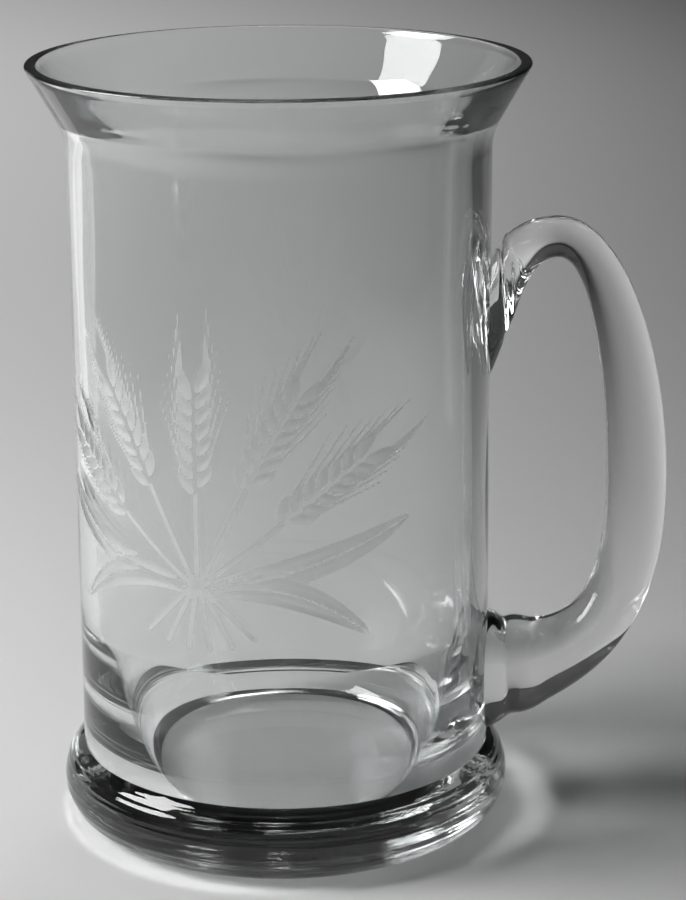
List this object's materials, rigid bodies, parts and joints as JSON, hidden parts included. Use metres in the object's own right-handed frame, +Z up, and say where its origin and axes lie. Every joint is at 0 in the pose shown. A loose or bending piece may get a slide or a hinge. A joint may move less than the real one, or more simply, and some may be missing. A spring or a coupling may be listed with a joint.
{
  "type": "glass tankard",
  "caption": "Clear glass tankard: a straight cylindrical bowl with a flared rim seated in a thick round foot, with a solid drawn loop handle sealed to one side for drinking.",
  "frame": {"origin": "centre of the flat base, on the bowl's axis", "axes": "+Z up along the bowl's axis, +X towards the handle, and the decorated side of the bowl faces -Y"},
  "size_m": [0.1281, 0.0992, 0.156],
  "materials": {
    "bowl_glass": "clear blown glass, fire polished, with a frosted wheel-engraved decoration on one side",
    "foot_glass": "clear cast glass, fire polished, ground flat below",
    "handle_glass": "clear drawn glass, fire polished"
  },
  "bodies": {
    "root": {"bowl": "bowl_glass", "foot": "foot_glass", "handle": "handle_glass"}
  },
  "joints": []
}
